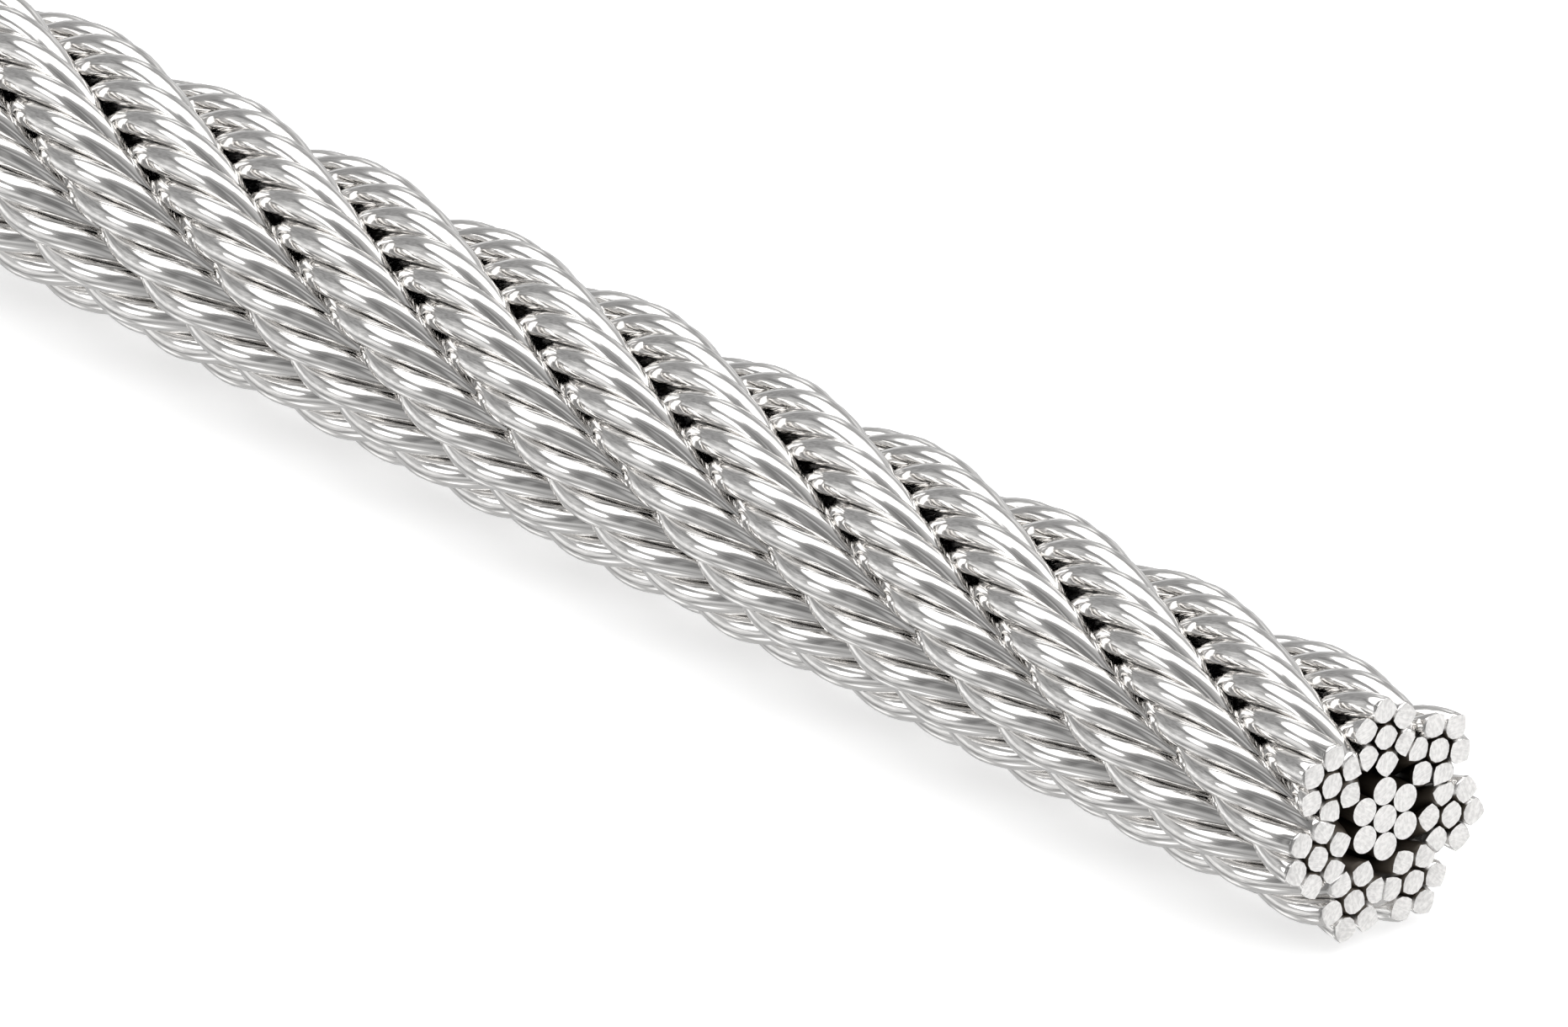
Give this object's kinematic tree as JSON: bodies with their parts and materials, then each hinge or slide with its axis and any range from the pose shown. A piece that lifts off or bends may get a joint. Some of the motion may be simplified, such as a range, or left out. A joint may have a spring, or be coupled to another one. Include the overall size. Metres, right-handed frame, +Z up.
{
  "type": "straight length of wire rope",
  "caption": "Straight cut length of bare right-hand regular-lay steel wire rope with square ends, its strands laid round a core of straight wires.",
  "frame": {"origin": "on the ground, under the middle of the rope", "axes": "+X along the rope towards the cut end with a strand on top, +Z up"},
  "size_m": [1, 0.0202, 0.0201],
  "materials": {
    "core_steel": "drawn wire, cut ends brushed",
    "strand_steel": "bright drawn wire"
  },
  "bodies": {
    "root": {"core_king_wire": "core_steel", "core_wire_1": "core_steel", "core_wire_2": "core_steel", "core_wire_3": "core_steel", "core_wire_4": "core_steel", "core_wire_5": "core_steel", "core_wire_6": "core_steel", "strand_1": "strand_steel", "strand_2": "strand_steel", "strand_3": "strand_steel", "strand_4": "strand_steel", "strand_5": "strand_steel", "strand_6": "strand_steel", "strand_7": "strand_steel"}
  },
  "joints": []
}
